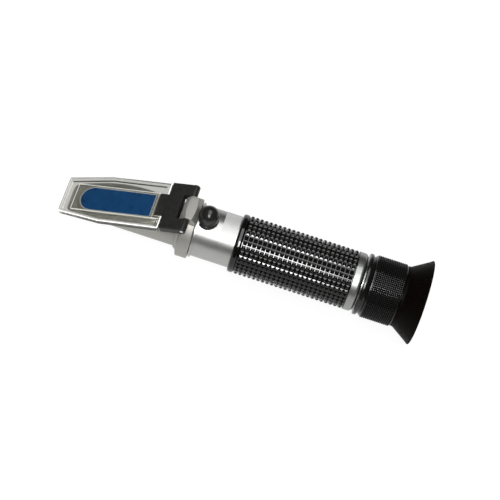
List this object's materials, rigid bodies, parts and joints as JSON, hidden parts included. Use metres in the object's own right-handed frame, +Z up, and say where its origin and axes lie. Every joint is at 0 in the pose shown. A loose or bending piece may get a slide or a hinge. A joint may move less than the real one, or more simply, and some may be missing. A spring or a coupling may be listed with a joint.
{
  "type": "refractometer",
  "caption": "Hand-held optical refractometer with a hinged clear daylight plate over a blue prism, studded rubber grip, knurled focusing eyepiece and flared rubber eyecup.",
  "frame": {"origin": "middle of the bottom of the bounding box: under the optical axis, half way between the daylight plate's front tip and the eyecup's rim", "axes": "+X along the optical axis, out of the eyepiece; +Z up, out of the daylight plate's side; +Y to the left of the user"},
  "size_m": [0.1712, 0.04, 0.04],
  "materials": {
    "cast_aluminium": "cast, warm grey",
    "satin_tube": "fine satin anodised",
    "polished_ring": "polished, turned",
    "blank_foil": "matte silver foil, blank",
    "black_steel": "black oxide",
    "steel_pin": "bright",
    "brass_fittings": "turned",
    "bimetal": "rolled strip",
    "blue_prism": "optical glass over a deep blue backing",
    "grey_sealant": "matte cement",
    "clear_acrylic": "clear moulded acrylic, polished",
    "lens_glass": "coated optical glass",
    "scale_glass": "etched reading scale glass",
    "black_hinge": "charcoal, slightly satin",
    "black_interior": "anti-reflection black",
    "black_knurl": "black anodised, fine knurl",
    "grip_rubber": "glossy moulded studs",
    "cap_rubber": "satin moulded",
    "eyecup_rubber": "semi-matte, soft"
  },
  "bodies": {
    "barrel": {"prism_box": "cast_aluminium", "main_prism": "blue_prism", "prism_seal": "grey_sealant", "hinge_collar": "cast_aluminium", "collar_screws": "black_steel", "hinge_pin": "steel_pin", "main_tube": "satin_tube", "id_band": "blank_foil", "rubber_grip": "grip_rubber", "end_ring": "polished_ring", "screw_bush": "brass_fittings", "bimetal_strip": "bimetal", "strip_block": "brass_fittings", "strip_screws": "steel_pin", "light_baffle": "black_interior", "reticle_holder": "black_interior", "reticle": "scale_glass", "reticle_retainer": "brass_fittings", "focus_neck": "polished_ring"},
    "daylight_plate": {"daylight_plate": "clear_acrylic", "hinge_block": "black_hinge"},
    "cap": {"screw_cap": "cap_rubber"},
    "calibration_screw": {"calibration_screw": "brass_fittings"},
    "lens_carriage": {"lens_carriage": "black_interior", "objective_lens": "lens_glass", "objective_retainer": "brass_fittings"},
    "focus_slider": {"drag_ring": "cap_rubber"},
    "eyepiece": {"focus_ring": "black_knurl", "eye_lens": "lens_glass", "eye_lens_retainer": "black_interior", "eyecup": "eyecup_rubber"}
  },
  "joints": [
    {"name": "plate_hinge", "type": "hinge", "parent": "barrel", "child": "daylight_plate", "pos_m": [-0.02786, 0, 0.03551], "axis": [0, 1, 0], "range_deg": [0, 110]},
    {"name": "cap_pull", "type": "slide", "parent": "barrel", "child": "cap", "axis": [0, 0, 1], "range_m": [0, 0.03]},
    {"name": "calibration_turn", "type": "hinge", "parent": "barrel", "child": "calibration_screw", "pos_m": [-0.0184, 0, 0.032], "axis": [0, 0, 1], "range_deg": [-180, 180]},
    {"name": "lens_shift", "type": "slide", "parent": "barrel", "child": "lens_carriage", "axis": [0, 0, 1], "range_m": [-0.00017, 0.00017]},
    {"name": "focus_travel", "type": "slide", "parent": "barrel", "child": "focus_slider", "axis": [1, 0, 0], "range_m": [-0.0005, 0.004]},
    {"name": "focus_turn", "type": "hinge", "parent": "focus_slider", "child": "eyepiece", "pos_m": [0.065, 0, 0.02], "axis": [1, 0, 0], "range_deg": [-30, 270]}
  ],
  "couplings": [
    {"joint": "focus_travel", "follows": "focus_turn", "m_per_rad": 0.00079577},
    {"joint": "calibration_turn", "follows": "lens_shift", "rad_per_m": 17952}
  ]
}
